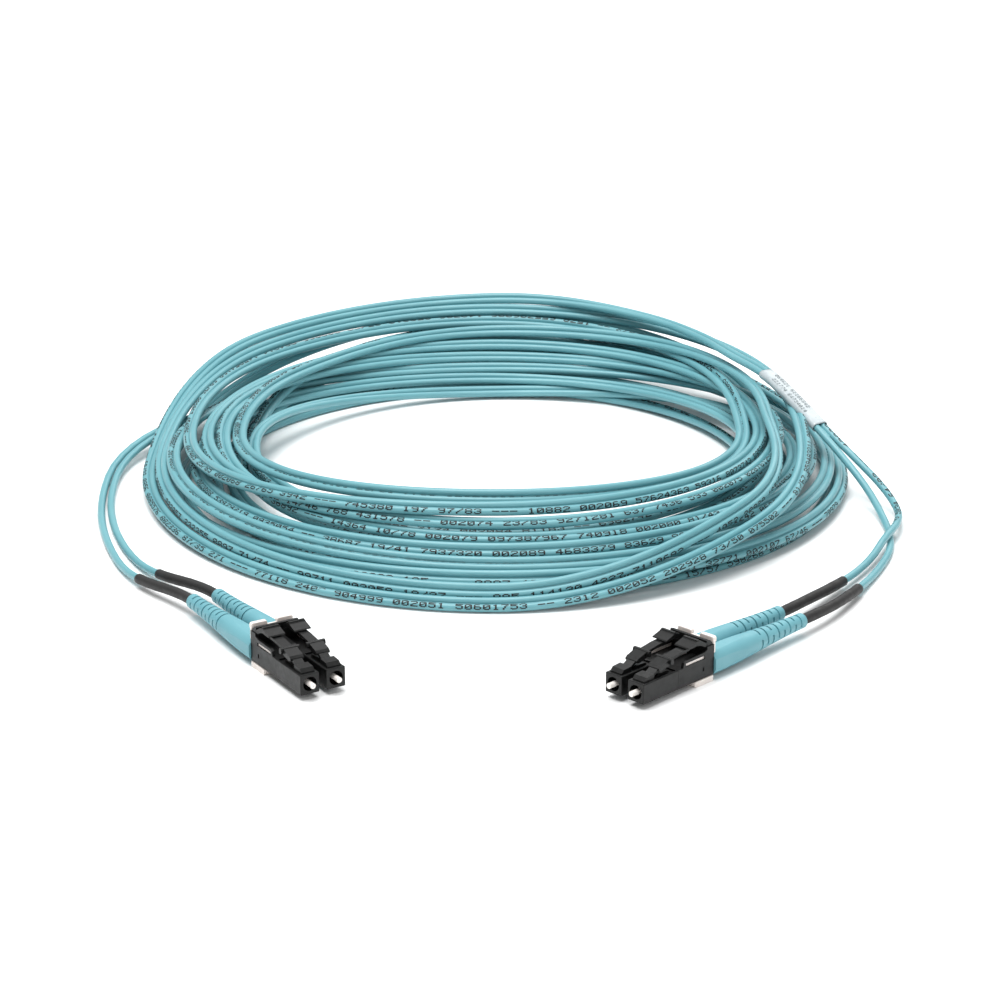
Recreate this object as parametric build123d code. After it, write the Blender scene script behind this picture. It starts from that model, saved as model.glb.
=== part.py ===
from build123d import *
import os
from math import cos, pi, radians, sin, tan

# Duplex fibre optic patch cord: two twin-plug ends joined by a coiled zip cord.
# Millimetres. +Z is up, and z = 0 is the surface that the cord lies on. The origin is under the
# middle of the two plug ends. The ends face the front (-Y) and the coil lies behind them.

# ---------------------------------------------------------------- driving dimensions
channel_pitch = 6.25        # plug centre to plug centre, standard for a small duplex plug
plug_side = 4.5             # square section of the plug's front
ferrule_radius = 0.625      # 1.25 mm ceramic ferrule
ferrule_reach = 1.6         # ferrule tip ahead of the plug's front face
jacket_radius = 0.9         # one leg of the 1.8 mm zip cord
tubing_radius = 1.2         # black tubing pushed over each leg
tubing_bore = 0.92
clip_rear = -22.7           # rear face of the duplex clip, measured back from the plug's front
boot_end = -55.7            # small end of the boot
foot_height = 1.3           # the clip's two feet hold the plugs this far above the surface

# where each end lies: the middle of its front face, and the way that it points
ends = {
    "a": {"x": -36.1, "y": -21.2, "heading": -58.6},
    "b": {"x": 27.3, "y": -25.1, "heading": -133.6},
}
channels = {"1": -channel_pitch / 2, "2": channel_pitch / 2}
axis_height = plug_side / 2
half_width = channel_pitch / 2 + plug_side / 2

# the two hinges of the release mechanism, in the end's own frame
latch_pivot_x, latch_pivot_z = -4.35, 5.05
trigger_pivot_x, trigger_pivot_z = -20.1, 7.5

# ---------------------------------------------------------------- small helpers


def block(x0, x1, y0, y1, z0, z1):
    """A box between two corners."""
    middle = Pos((x0 + x1) / 2, (y0 + y1) / 2, (z0 + z1) / 2)
    return middle * Box(x1 - x0, y1 - y0, z1 - z0)


def rod(x0, x1, radius, y=0.0, z=axis_height):
    """A round bar along X."""
    return Pos((x0 + x1) / 2, y, z) * Rot(0, 90, 0) * Cylinder(radius, x1 - x0)


def cross_rod(x, z, radius, y0, y1):
    """A round bar along Y."""
    return Pos(x, (y0 + y1) / 2, z) * Rot(90, 0, 0) * Cylinder(radius, y1 - y0)


def side_profile(points, y0, y1):
    """A plate whose outline is given in X and Z, between two Y positions."""
    outline = Polygon(*points, align=None)
    return Pos(0, y1, 0) * Rot(90, 0, 0) * extrude(outline, y1 - y0, dir=(0, 0, 1))


def placed(end, shape):
    """Moves a shape from an end's own frame to where that end lies."""
    where = ends[end]
    return Pos(where["x"], where["y"], foot_height) * Rot(0, 0, where["heading"]) * shape


def end_point(end, x, y, z):
    """A point of an end's own frame, in the part's frame."""
    where = ends[end]
    turn = radians(where["heading"])
    return (
        where["x"] + x * cos(turn) - y * sin(turn),
        where["y"] + x * sin(turn) + y * cos(turn),
        foot_height + z,
    )


def save(name, shape):
    export_step(shape, f"parts/{name}.step")


# ---------------------------------------------------------------- one plug

front_bore = 1.6
seat_front, seat_rear = -3.6, -4.1
seat_bore = 1.2             # the flange behind the seat is wider than this
cavity_radius = 1.5
shoulder_x = -11.0          # where the full section ends and the shank inside the clip begins
shank_half = 1.85
shank_end = -20.6
deck_height = 4.2
root_front, root_rear = -0.8, -4.0
root_top = 5.6
root_half = 1.6


def plug_housing(y):
    half = plug_side / 2
    front = block(shoulder_x, 0, y - half, y + half, 0, plug_side)
    upright = front.edges().filter_by(Axis.X)
    front = fillet(upright, 0.25)
    front = chamfer(front.faces().sort_by(Axis.X)[-1].edges(), 0.12)
    shank_low, shank_high = axis_height - shank_half, axis_height + shank_half
    shank = block(shank_end, shoulder_x, y - shank_half, y + shank_half, shank_low, shank_high)
    root_outline = [
        (root_rear, deck_height - 0.2),
        (root_rear, root_top - 0.1),
        (root_rear + 0.1, root_top),
        (root_front - 0.75, root_top - 0.15),
        (root_front, root_top - 0.85),
        (root_front, deck_height - 0.2),
    ]
    root = side_profile(root_outline, y - root_half, y + root_half)
    root = fillet(root.edges().filter_by(Axis.X).sort_by(Axis.Z)[-2:], 0.15)
    deck = block(shoulder_x + 0.4, root_rear, y - 1.85, y + 1.85, deck_height, plug_side + 0.1)
    rail_outline = [(-9.6, 4.1), (-9.6, 4.35), (-9.0, 4.62), (-6.2, 4.86), (-5.6, 4.6), (-5.6, 4.1)]
    rail = side_profile(rail_outline, y - 0.85, y + 0.85)
    body = front + root + shank - deck + rail
    body -= rod(seat_front, 0.5, front_bore, y)
    body -= rod(seat_rear - 0.2, 0, seat_bore, y)
    body -= rod(shank_end - 0.5, seat_rear, cavity_radius, y)
    keyway = block(-10.0, -1.2, y - 0.6, y + 0.6, -0.1, 0.22)
    return body - keyway


def latch_lever(y):
    stem_outline = [
        (latch_pivot_x - 0.1, 4.78),
        (latch_pivot_x, 5.33),
        (-5.6, 6.05),
        (-6.4, 6.3),
        (-6.4, 5.72),
        (-5.7, 5.45),
    ]
    stem = side_profile(stem_outline, y - 1.1, y + 1.1)
    knuckle = cross_rod(latch_pivot_x, latch_pivot_z, 0.29, y - 1.1, y + 1.1)
    ramp_outline = [
        (-5.55, 5.72),
        (-5.55, 6.18),
        (-6.1, 6.62),
        (-8.7, 7.38),
        (-9.4, 7.38),
        (-9.4, 6.5),
        (-8.6, 6.02),
        (-6.3, 5.5),
    ]
    ramp = side_profile(ramp_outline, y - 1.62, y + 1.62)
    ramp = fillet(ramp.edges().filter_by(Axis.Y).sort_by(Axis.X)[-2:], 0.15)
    shoulder_outline = [(-9.5, 6.35), (-9.5, 7.5), (-9.2, 7.62), (-8.7, 7.5), (-8.5, 6.75), (-8.75, 6.35)]
    shoulders = side_profile(shoulder_outline, y - plug_side / 2, y + plug_side / 2)
    arm_outline = [
        (-9.3, 6.55),
        (-9.3, 7.2),
        (-13.4, 7.72),
        (-15.7, 7.8),
        (-15.9, 7.65),
        (-15.9, 7.25),
        (-13.2, 7.1),
    ]
    arm = side_profile(arm_outline, y - 1.15, y + 1.15)
    return stem + knuckle + ramp + shoulders + arm


flange_front, flange_step, flange_end = -4.2, -5.4, -8.2
fibre_bore = 0.07


def ferrule(y):
    tip = rod(flange_front, ferrule_reach, ferrule_radius, y)
    tip = chamfer(tip.faces().sort_by(Axis.X)[-1].edges(), 0.14)
    return tip - rod(flange_front - 0.1, ferrule_reach + 0.1, fibre_bore, y)


def ferrule_flange(y):
    hexagon = extrude(RegularPolygon(1.44, 6), flange_front - flange_step)
    head = Pos(flange_step, y, axis_height) * Rot(0, 90, 0) * hexagon
    tail = rod(flange_end, flange_step, 0.82, y)
    body = head + tail - rod(flange_end - 0.1, flange_step + 0.1, 0.5, y)
    return body - rod(flange_step, flange_front + 0.1, fibre_bore, y)


spring_front, spring_rear = flange_step - 0.05, -12.2
spring_turns = 7
spring_radius, spring_wire = 1.12, 0.14


def spring(y):
    height = spring_front - spring_rear - 2 * spring_wire
    path = Helix(pitch=height / spring_turns, height=height, radius=spring_radius)
    section = Plane(origin=path @ 0, z_dir=path % 0) * Circle(spring_wire)
    wire = sweep(section, path=path)
    return Pos(spring_rear + spring_wire, y, axis_height) * Rot(0, 90, 0) * wire


def crimp_body(y):
    front = rod(shank_end + 0.05, spring_rear - 0.05, cavity_radius - 0.04, y)
    collar = rod(-21.7, shank_end - 0.03, 1.8, y)
    link = rod(shank_end - 0.03, shank_end + 0.05, cavity_radius - 0.04, y)
    nipple = rod(-26.0, -21.7, 1.15, y)
    body = front + link + collar + nipple
    for groove in range(5):
        x = -22.6 - 0.7 * groove
        body -= rod(x - 0.15, x + 0.15, 1.4, y) - rod(x - 0.15, x + 0.15, 1.05, y)
    return body - rod(-26.1, spring_rear, 0.62, y)


crimp_front, crimp_step, crimp_end = -21.75, -26.4, -31.0


def crimp_sleeve(y):
    wide = rod(crimp_step, crimp_front, 1.7, y) - rod(crimp_step, crimp_front, 1.18, y)
    narrow = rod(crimp_end, crimp_step, 1.25, y) - rod(crimp_end, crimp_step, 0.95, y)
    ring = rod(crimp_step - 0.3, crimp_step, 1.7, y) - rod(crimp_step - 0.3, crimp_step, 0.95, y)
    return wide + narrow + ring


def buffered_fibre(y):
    tube = rod(-28.0, flange_step - 0.05, 0.45, y)
    return tube - rod(-28.1, flange_step, 0.08, y)


# ---------------------------------------------------------------- boot

boot_front = clip_rear - 0.05
boot_outline = [(boot_front, 3.0), (-31.5, 2.92), (-38.0, 2.55), (-45.0, 2.1), (-51.0, 1.82)]
slot_count = 8
slot_first, slot_pitch, slot_width = -53.4, 2.05, 0.5


def boot_radius(x):
    """Outer radius of the boot at a position along it, on straight lines between its stations."""
    stations = boot_outline + [(boot_end, 1.74)]
    for (x0, r0), (x1, r1) in zip(stations, stations[1:]):
        if x1 <= x <= x0:
            return r0 + (r1 - r0) * (x - x0) / (x1 - x0)
    return stations[-1][1]


def boot(y):
    outer = Spline(*[(x, r) for x, r in boot_outline + [(boot_end + 0.45, 1.74)]])
    nose = RadiusArc(outer @ 1, (boot_end, 1.3), 0.5)
    if (nose @ 0.5).Y < 1.5:
        nose = RadiusArc(outer @ 1, (boot_end, 1.3), -0.5)
    close = Polyline(nose @ 1, (boot_end, 0), (boot_front, 0), outer @ 0)
    shell = revolve(make_face([outer, nose, close]), Axis.X, 360)
    shell &= block(boot_end - 1, boot_front + 1, -2.78, 2.78, -2.72, 2.72)
    shell -= rod(-27.2, boot_front + 0.1, 1.76, 0, 0)
    shell -= rod(-31.5, -27.0, 1.34, 0, 0)
    shell -= rod(boot_end - 0.1, -31.0, tubing_radius + 0.03, 0, 0)
    for count in range(slot_count):
        x = slot_first + slot_pitch * count
        radius = boot_radius(x)
        depth = 0.32 + 0.04 * count
        ring = rod(x - slot_width / 2, x + slot_width / 2, radius + 1, 0, 0)
        ring -= rod(x - slot_width / 2, x + slot_width / 2, radius - depth, 0, 0)
        side = 1 if count % 2 else -1
        sector = Rot(35 * side, 0, 0) * block(x - 1, x + 1, -5, 5, 0.25 * radius, 6)
        lower = Rot(35 * side, 0, 0) * block(x - 1, x + 1, -5, 5, -6, -0.25 * radius)
        shell -= ring & sector
        shell -= ring & lower
    return Pos(0, y, axis_height) * shell


# ---------------------------------------------------------------- clips and triggers

wall_top = 5.9
bulkhead_front = -20.45
rail_low, rail_high = 4.5, 5.25
window_front, window_rear = -13.5, -19.6


def duplex_clip():
    base = block(clip_rear, shoulder_x - 0.05, -half_width, half_width, 0, 4.4)
    wall_outline = [
        (bulkhead_front - 0.5, 4.2),
        (bulkhead_front - 0.5, wall_top + 0.6),
        (-19.4, wall_top + 0.1),
        (-13.6, wall_top),
        (-12.9, 5.5),
        (-12.6, 4.4),
        (-12.6, 4.2),
    ]
    body = base
    for y0, y1 in ((-half_width, -4.7), (-0.8, 0.8), (4.7, half_width)):
        body += side_profile(wall_outline, y0, y1)
    body += block(clip_rear, bulkhead_front, -half_width, half_width, 4.2, 7.0)
    ridge_outline = [
        (clip_rear + 0.1, 6.9),
        (clip_rear + 0.4, 7.5),
        (-21.6, 8.15),
        (-20.9, 8.4),
        (-20.5, 8.3),
        (-20.5, 6.9),
    ]
    body += side_profile(ridge_outline, -5.15, 5.15)
    outside = body.edges().filter_by(Axis.X).filter_by_position(Axis.Z, -0.01, 0.01)
    body = fillet(outside, 0.25)
    pocket = shank_half + 0.02
    for y in channels.values():
        low, high = axis_height - pocket, axis_height + pocket
        body -= block(clip_rear - 0.1, shoulder_x, y - pocket, y + pocket, low, high)
        body -= cross_rod(trigger_pivot_x, trigger_pivot_z, 0.57, y - 2.06, y + 2.06)
        front_gap = block(trigger_pivot_x, trigger_pivot_x + 1, y - 2.06, y + 2.06, 6.6, 9)
        body -= front_gap
    for side in (-1, 1):
        edge = side * half_width
        slot = sorted((side * 4.68, side * 5.14))
        body -= block(clip_rear - 0.1, window_front, slot[0], slot[1], rail_low - 0.02, rail_high + 0.02)
        window = sorted((side * 4.6, edge + side))
        body -= block(window_rear, window_front, window[0], window[1], rail_low, rail_high)
        dimple = sorted((edge - side * 0.18, edge + side))
        body -= block(-19.5, -18.9, dimple[0], dimple[1], 1.75, 2.65)
    body -= block(clip_rear - 0.1, window_front, -0.32, 0.32, rail_low - 0.02, rail_high + 0.02)
    body -= block(window_rear, window_front, -1.0, 1.0, rail_low, rail_high)
    body -= block(clip_rear - 0.1, -16.5, -0.32, 0.32, -0.1, rail_low)
    body -= block(clip_rear - 0.1, clip_rear + 0.35, -0.32, 0.32, -0.1, rail_high)
    return body


def polarity_clip():
    tab_rear = clip_rear - 1.15
    plate = block(clip_rear - 0.7, clip_rear - 0.03, -5.1, 5.1, 5.12, 7.55)
    body = plate
    for side in (-1, 1):
        tab_ends = sorted((side * 1.15, side * 5.1))
        tab = block(tab_rear, clip_rear - 0.03, tab_ends[0], tab_ends[1], 7.35, 8.5)
        tab = fillet(tab.edges().filter_by(Axis.X).sort_by(Axis.Z)[-2:], 0.5)
        tab = fillet(tab.edges().filter_by(Axis.Y).sort_by(Axis.Z)[-2:], 0.2)
        body += tab
        rail = sorted((side * 4.7, side * 5.1))
        body += block(clip_rear, window_front - 0.1, rail[0], rail[1], rail_low + 0.02, rail_high - 0.02)
        body += block(clip_rear - 0.7, clip_rear, rail[0], rail[1], rail_low + 0.35, rail_high - 0.02)
        foot_ends = sorted((side * 3.1, side * (half_width + 0.15)))
        foot = block(-22.4, -16.4, foot_ends[0], foot_ends[1], -foot_height, -0.03)
        foot = chamfer(foot.faces().sort_by(Axis.X)[-1].edges().sort_by(Axis.Z)[0], 0.4)
        body += foot
    body += block(clip_rear - 0.7, window_front - 0.1, -0.3, 0.3, rail_low + 0.02, rail_high - 0.02)
    body += block(clip_rear - 0.7, clip_rear + 0.3, -0.3, 0.3, -0.55, rail_high - 0.02)
    body += block(clip_rear - 0.7, -16.6, -0.3, 0.3, -0.55, rail_low + 0.1)
    return body + block(-22.2, -16.6, -3.2, 3.2, -0.55, -0.03)


def trigger(y):
    plate_outline = [
        (trigger_pivot_x, 7.98),
        (-18.9, 8.72),
        (-18.2, 9.0),
        (-17.2, 9.1),
        (-17.05, 8.95),
        (-14.75, 8.28),
        (-14.55, 8.05),
        (-14.75, 7.97),
        (-16.2, 7.97),
        (-17.2, 8.1),
        (-18.6, 7.75),
        (trigger_pivot_x, 7.02),
    ]
    plate = side_profile(plate_outline, y - 2.0, y + 2.0)
    knuckle = cross_rod(trigger_pivot_x, trigger_pivot_z, 0.48, y - 2.0, y + 2.0)
    step = block(-18.0, -17.3, y - 1.9, y + 1.9, 8.95, 9.35)
    step = fillet(step.edges().filter_by(Axis.Y).sort_by(Axis.Z)[-2:], 0.12)
    return plate + knuckle + step


# ---------------------------------------------------------------- cords

# Each leg starts inside its boot, runs through the black tubing and lies on the surface up to
# the coil. The first points are given in the end's frame and the others in the part's frame.
leg_start = [(-31.2, 0.0), (-40.2, 0.1), (-49.4, -0.05), (-58.6, 0.0)]
leg_routes = {
    "a1": [
        (-74.2, 32.9, 3.1),
        (-80.4, 39.7, 2.3),
        (-86.2, 50.0, 1.2),
        (-91.0, 64.4, 0.95),
        (-95.4, 83.0, 0.95),
        (-97.4, 104.0, 1.1),
        (-96.6, 124.4, 2.2),
        (-89.5, 142.4, 3.6),
        (-77.0, 155.5, 4.6),
    ],
    "a2": [
        (-68.8, 36.2, 3.1),
        (-75.5, 42.5, 2.3),
        (-82.3, 52.2, 1.2),
        (-88.2, 66.4, 0.95),
        (-93.0, 84.6, 0.95),
        (-95.3, 104.4, 1.1),
        (-94.5, 123.8, 2.2),
        (-87.7, 140.8, 3.6),
        (-75.6, 153.4, 4.6),
    ],
    "b1": [
        (70.4, 26.6, 3.1),
        (76.6, 35.4, 2.4),
        (83.2, 46.0, 1.8),
        (88.4, 56.0, 2.2),
        (92.0, 66.0, 2.95),
        (96.6, 76.4, 2.95),
        (98.2, 87.2, 2.2),
        (95.4, 96.8, 4.8),
        (89.6, 105.2, 9.0),
        (82.9, 114.2, 13.7),
    ],
    "b2": [
        (75.3, 22.0, 3.1),
        (80.6, 31.4, 2.4),
        (85.6, 42.4, 1.2),
        (89.9, 52.6, 0.95),
        (93.4, 63.4, 0.95),
        (94.6, 74.6, 0.95),
        (94.0, 85.4, 1.4),
        (91.6, 95.2, 4.6),
        (87.0, 104.0, 8.9),
        (81.3, 113.2, 13.6),
    ],
}
tubing_start = -44.0
tubing_last_run = 5         # the tubing ends half way along this run of its leg


def leg_points(end, channel):
    y = channels[channel]
    inside = [end_point(end, x, y, axis_height + lift) for x, lift in leg_start]
    return [Vector(*p) for p in inside + leg_routes[end + channel]]


def corner_radii(points):
    """0.45 of the shorter run, over the tangent of half the turn, at each corner."""
    radii = []
    for before, corner, after in zip(points, points[1:], points[2:]):
        into, out = corner - before, after - corner
        half_turn = radians(into.get_angle(out)) / 2
        radii.append(0.45 * min(into.length, out.length) / tan(half_turn))
    return radii


def swept(points, radii, outer, inner=0.0):
    """A tube along straight runs joined by tangent arcs."""
    path = FilletPolyline(*points, radius=radii)
    start = Plane(origin=path @ 0, z_dir=path % 0)
    tube = sweep(start * Circle(outer), path=path)
    if inner:
        tube -= sweep(start * Circle(inner), path=path)
    return tube, path.length


def cable_leg(end, channel):
    points = leg_points(end, channel)
    radii = corner_radii(points)
    tube, length = swept(points, radii, jacket_radius)
    expected = pi * jacket_radius**2 * length
    print(f"leg {end}{channel}: length {length:.1f}, tightest {min(radii):.1f}, "
          f"volume {tube.volume:.1f} of {expected:.1f}")
    return tube


def tubing(end, channel):
    """The black tubing follows the first runs of its leg and stops half way along one."""
    points = leg_points(end, channel)
    radii = corner_radii(points)
    share = (tubing_start - leg_start[1][0]) / (leg_start[2][0] - leg_start[1][0])
    first = points[1] + (points[2] - points[1]) * share
    last = (points[tubing_last_run] + points[tubing_last_run + 1]) * 0.5
    path = [first] + points[2 : tubing_last_run + 1] + [last]
    tube, length = swept(path, radii[1:tubing_last_run], tubing_radius, tubing_bore)
    inside = tubing_start - boot_end
    print(f"tubing {end}{channel}: length {length:.1f}, {length - inside:.1f} of it outside the boot")
    return tube


# The coil's outer shape: three flat rings on each other, the upper ones smaller and further back.
# Each is (bottom, top, outer centre y, outer half sizes, inner centre y, inner half sizes).
coil_x = 0.2
coil_layers = [
    (0.0, 7.5, 114.0, (88.0, 88.0), 119.0, (59.0, 63.0)),
    (7.0, 14.5, 121.0, (86.0, 88.0), 121.0, (58.0, 62.0)),
    (14.0, 21.0, 129.0, (81.0, 84.0), 123.0, (58.0, 62.0)),
]


def coil():
    body = None
    for low, high, outer_y, outer, inner_y, inner in coil_layers:
        ring = Pos(coil_x, outer_y) * Ellipse(*outer) - Pos(coil_x, inner_y) * Ellipse(*inner)
        layer = Pos(0, 0, low) * extrude(ring, high - low)
        body = layer if body is None else body + layer
    return body


label_ends = ((70.0, 139.8, 20.5), (81.6, 114.9, 14.2))
label_radius = 2.25


def label_sleeve():
    start, finish = (Vector(*p) for p in label_ends)
    axis = Plane(origin=start, z_dir=finish - start)
    return axis * extrude(Circle(label_radius) - Circle(label_radius - 0.2), (finish - start).length)


# ---------------------------------------------------------------- write every piece

os.makedirs("parts", exist_ok=True)

per_channel = {
    "plug_housing": plug_housing,
    "latch_lever": latch_lever,
    "trigger": trigger,
    "ferrule": ferrule,
    "ferrule_flange": ferrule_flange,
    "ferrule_spring": spring,
    "crimp_body": crimp_body,
    "crimp_sleeve": crimp_sleeve,
    "buffered_fibre": buffered_fibre,
    "boot": boot,
}

for end in ends:
    save(f"duplex_clip_{end}", placed(end, duplex_clip()))
    save(f"polarity_clip_{end}", placed(end, polarity_clip()))
    for channel, y in channels.items():
        for name, make in per_channel.items():
            save(f"{name}_{end}{channel}", placed(end, make(y)))
        save(f"cable_leg_{end}{channel}", cable_leg(end, channel))
        save(f"tubing_{end}{channel}", tubing(end, channel))

save("coil", coil())
save("label_sleeve", label_sleeve())
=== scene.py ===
import bpy
import math
import numpy as np
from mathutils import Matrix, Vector


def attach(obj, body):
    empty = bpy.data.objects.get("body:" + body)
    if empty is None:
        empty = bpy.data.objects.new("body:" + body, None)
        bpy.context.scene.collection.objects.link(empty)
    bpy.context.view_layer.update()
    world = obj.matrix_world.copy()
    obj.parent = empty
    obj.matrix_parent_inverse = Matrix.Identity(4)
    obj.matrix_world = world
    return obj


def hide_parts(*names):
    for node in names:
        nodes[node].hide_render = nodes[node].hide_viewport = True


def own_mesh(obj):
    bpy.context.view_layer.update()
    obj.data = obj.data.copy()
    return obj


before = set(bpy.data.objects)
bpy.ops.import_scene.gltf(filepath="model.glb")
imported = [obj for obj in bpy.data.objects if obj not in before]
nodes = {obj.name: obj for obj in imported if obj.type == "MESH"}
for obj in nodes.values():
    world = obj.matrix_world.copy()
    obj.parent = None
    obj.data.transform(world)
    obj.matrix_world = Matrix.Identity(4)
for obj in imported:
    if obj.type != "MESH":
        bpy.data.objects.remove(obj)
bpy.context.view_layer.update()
rootBody = "cord_and_ends"
mm = 0.001
print("frame loaded:", len(nodes), "CAD pieces")


def linear(hexColour):
    # sRGB hex to the linear values that a shader wants
    values = [int(hexColour[i:i + 2], 16) / 255 for i in (1, 3, 5)]
    return tuple(v / 12.92 if v <= 0.04045 else ((v + 0.055) / 1.055) ** 2.4 for v in values) + (1.0,)


def link(obj):
    bpy.context.scene.collection.objects.link(obj)
    return obj


# the camera: a long lens, a little above the table
cameraSettings = {
    "lens": 115.2, "sensor": 36.0,      # mm
    "tilt": 19.81,          # degrees below level
    "distance": 0.7911,     # metres, from the point it looks at
    "aim": (0.0012, 0.1012, 0.0),
    "clip": (0.01, 20.0),   # metres, the nearest and farthest that it sees
}


def makeCamera(settings):
    data = bpy.data.cameras.new("studioCamera")
    data.lens = settings["lens"]
    data.sensor_width = settings["sensor"]
    data.clip_start, data.clip_end = settings["clip"]
    camera = link(bpy.data.objects.new("studioCamera", data))
    tilt = math.radians(settings["tilt"])
    aim = Vector(settings["aim"])
    camera.location = aim + Vector((0, -math.cos(tilt), math.sin(tilt))) * settings["distance"]
    camera.rotation_euler = (math.pi / 2 - tilt, 0, 0)
    bpy.context.scene.camera = camera


makeCamera(cameraSettings)
print("camera placed")

# the cords' routes: the same points as the CAD tubes, in metres
ends = {
    "a": {"x": -0.0361, "y": -0.0212, "heading": -58.6},
    "b": {"x": 0.0273, "y": -0.0251, "heading": -133.6},
}
channels = {"1": -0.003125, "2": 0.003125}
footHeight = 0.0013
axisHeight = 0.00225
legStart = [(-0.0312, 0.0), (-0.0402, 0.0001), (-0.0494, -0.00005), (-0.0586, 0.0)]
legRoutes = {
    "a1": [
        (-0.0742, 0.0329, 0.0031), (-0.0804, 0.0397, 0.0023), (-0.0862, 0.0500, 0.0012),
        (-0.0910, 0.0644, 0.00095), (-0.0954, 0.0830, 0.00095), (-0.0974, 0.1040, 0.0011),
        (-0.0966, 0.1244, 0.0022), (-0.0895, 0.1424, 0.0036), (-0.0770, 0.1555, 0.0046),
    ],
    "a2": [
        (-0.0688, 0.0362, 0.0031), (-0.0755, 0.0425, 0.0023), (-0.0823, 0.0522, 0.0012),
        (-0.0882, 0.0664, 0.00095), (-0.0930, 0.0846, 0.00095), (-0.0953, 0.1044, 0.0011),
        (-0.0945, 0.1238, 0.0022), (-0.0877, 0.1408, 0.0036), (-0.0756, 0.1534, 0.0046),
    ],
    "b1": [
        (0.0704, 0.0266, 0.0031), (0.0766, 0.0354, 0.0024), (0.0832, 0.0460, 0.0018),
        (0.0884, 0.0560, 0.0022), (0.0920, 0.0660, 0.00295), (0.0966, 0.0764, 0.00295),
        (0.0982, 0.0872, 0.0022), (0.0954, 0.0968, 0.0048), (0.0896, 0.1052, 0.0090),
        (0.0829, 0.1142, 0.0137),
    ],
    "b2": [
        (0.0753, 0.0220, 0.0031), (0.0806, 0.0314, 0.0024), (0.0856, 0.0424, 0.0012),
        (0.0899, 0.0526, 0.00095), (0.0934, 0.0634, 0.00095), (0.0946, 0.0746, 0.00095),
        (0.0940, 0.0854, 0.0014), (0.0916, 0.0952, 0.0046), (0.0870, 0.1040, 0.0089),
        (0.0813, 0.1132, 0.0136),
    ],
}


def endPoint(end, x, y, z):
    # a point of an end's own frame, in the part's frame
    turn = math.radians(ends[end]["heading"])
    return (
        ends[end]["x"] + x * math.cos(turn) - y * math.sin(turn),
        ends[end]["y"] + x * math.sin(turn) + y * math.cos(turn),
        footHeight + z,
    )


def legPoints(end, channel):
    inside = [endPoint(end, x, channels[channel], axisHeight + lift) for x, lift in legStart]
    return inside + legRoutes[end + channel]


# the coil: each turn is steered past the left, back, right and front of the ring, then all
# the turns are pushed apart until they lie on and beside each other like a real twin cord
coilSettings = {
    "centre": (0.2, 119.0),     # mm, what the radii below are measured from
    "stations": 72,             # points along each turn
    "firstAngle": 30.0,         # degrees: 0 is left, 90 back, 180 right, 270 front
    "firstPlace": (84.2, 4.5),  # mm, radius and height there
    "lastAngle": 176.0,         # of the last turn, where the label lets go of the coil
    "tailA": -10.0,             # end a's tail lies beside the coil from here to the first angle,
    "tailB": (180.0, 200.0),    # and end b's between these two, and the coil makes room for both
    "legRadius": 0.9,
    "legSpacing": 1.86,         # between the two legs of the twin cord
    "clearance": 1.84,          # between any two legs
    "rounds": 300, "pushes": 3,     # smoothing rounds, and pushes apart in each
    "steer": 0.12,              # how hard each turn is drawn to its plan
    "ease": (0.7, 0.25),        # after this share of the rounds, steer by this share
    "free": 0.85,               # after this share, not at all
    "stiffness": ((1, 0.5), (2, 0.15)),     # stations to each side, and how much they even out
    "twinPull": 0.4,            # of the error in the twin legs' spacing, taken up in each push
    "pushShare": 0.75,          # of each push between legs
    "leanSpread": 7.0,          # degrees, from turn to turn
    "top": 20.3,                # mm, the highest that a leg's middle may be
    "seed": 7,
}

# for each turn: radius and height, in mm, where it passes left, back, right and front
turnPlan = [
    {"back": (78.8, 8.5), "right": (84.6, 1.3), "front": (82.5, 1.3)},
    {"left": (78.6, 1.2), "back": (71.5, 4.2), "right": (72.3, 3.0), "front": (72.5, 1.2)},
    {"left": (70.3, 1.2), "back": (67.8, 2.0), "right": (63.9, 2.4), "front": (65.0, 1.8)},
    {"left": (66.2, 1.4), "back": (82.7, 10.7), "right": (86.8, 3.0), "front": (86.4, 5.9)},
    {"left": (82.5, 3.0), "back": (90.4, 15.3), "right": (68.1, 8.6), "front": (64.8, 5.6)},
    {"left": (62.3, 5.2), "back": (86.5, 13.0), "right": (83.2, 6.2), "front": (83.4, 8.1)},
    {"left": (80.6, 8.8), "back": (71.6, 6.3), "right": (78.6, 9.0), "front": (80.4, 10.3)},
    {"left": (74.5, 7.0), "back": (67.7, 4.0), "right": (63.9, 8.2), "front": (65.3, 9.4)},
    {"left": (60.9, 9.2), "back": (63.9, 1.8), "right": (74.4, 8.2), "front": (77.4, 12.5)},
    {"left": (68.2, 13.2), "back": (74.9, 8.3), "right": (70.2, 13.4), "front": (74.4, 14.7)},
    {"left": (72.4, 12.2), "back": (78.7, 10.5), "right": (66.0, 13.6), "front": (71.4, 16.9)},
    {"left": (76.6, 10.8), "leftBack": (84.4, 13.2), "back": (86.5, 15.0), "right": (61.9, 13.2),
     "front": (68.5, 19.0)},
    {"left": (64.4, 12.6), "leftBack": (71.5, 12.0), "back": (82.6, 12.8), "right": (67.6, 17.4),
     "rightFront": (82.6, 13.2), "front": (89.3, 3.9)},
    {"left": (83.9, 6.4), "leftBack": (88.6, 14.8), "back": (90.4, 17.3), "right": (76.4, 16.6),
     "rightFront": (86.8, 10.2), "front": (92.2, 1.7)},
    {"left": (86.8, 3.4), "leftBack": (92.0, 16.4), "back": (93.8, 19.4)},
]

# how the flat of the twin cord leans at each side: degrees of its outer leg above the inner one
lean = {
    "left": -26.0, "leftBack": 12.0, "back": 30.0, "right": -24.0, "rightFront": -40.0, "front": -36.0,
}
sideAngles = {
    "left": 0.0, "leftBack": 45.0, "back": 90.0, "right": 180.0, "rightFront": 225.0, "front": 270.0,
}

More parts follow.
